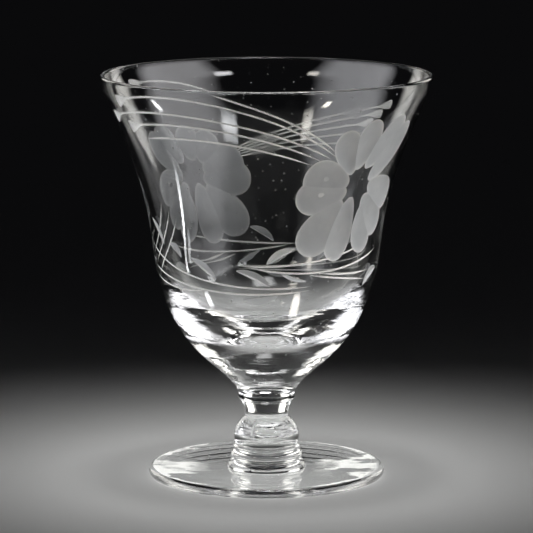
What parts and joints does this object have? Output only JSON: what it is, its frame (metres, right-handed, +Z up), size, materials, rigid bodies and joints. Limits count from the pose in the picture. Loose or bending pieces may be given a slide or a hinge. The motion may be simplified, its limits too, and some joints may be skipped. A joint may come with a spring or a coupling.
{
  "type": "wine glass",
  "caption": "Low footed wine glass with a flared bowl, cut with flowers and sweeping lines, on a short knopped stem with ringed collar and a round foot.",
  "frame": {"origin": "centre of the foot, on the surface that the glass stands on", "axes": "+Z up along the axis of the bowl and stem; -Y towards the viewer of the front of the cut pattern, +X to that viewer's right"},
  "size_m": [0.0898, 0.0898, 0.11],
  "materials": {
    "cut_bowl_glass": "clear polished glass with matt unpolished wheel cuts on the outside",
    "clear_glass": "clear fire-polished glass, faintly green at the edge of the foot"
  },
  "bodies": {
    "root": {"bowl": "cut_bowl_glass", "bowl_wafer": "clear_glass", "stem_neck": "clear_glass", "knop": "clear_glass", "collar_ring_upper": "clear_glass", "collar_ring_lower": "clear_glass", "foot": "clear_glass"}
  },
  "joints": []
}
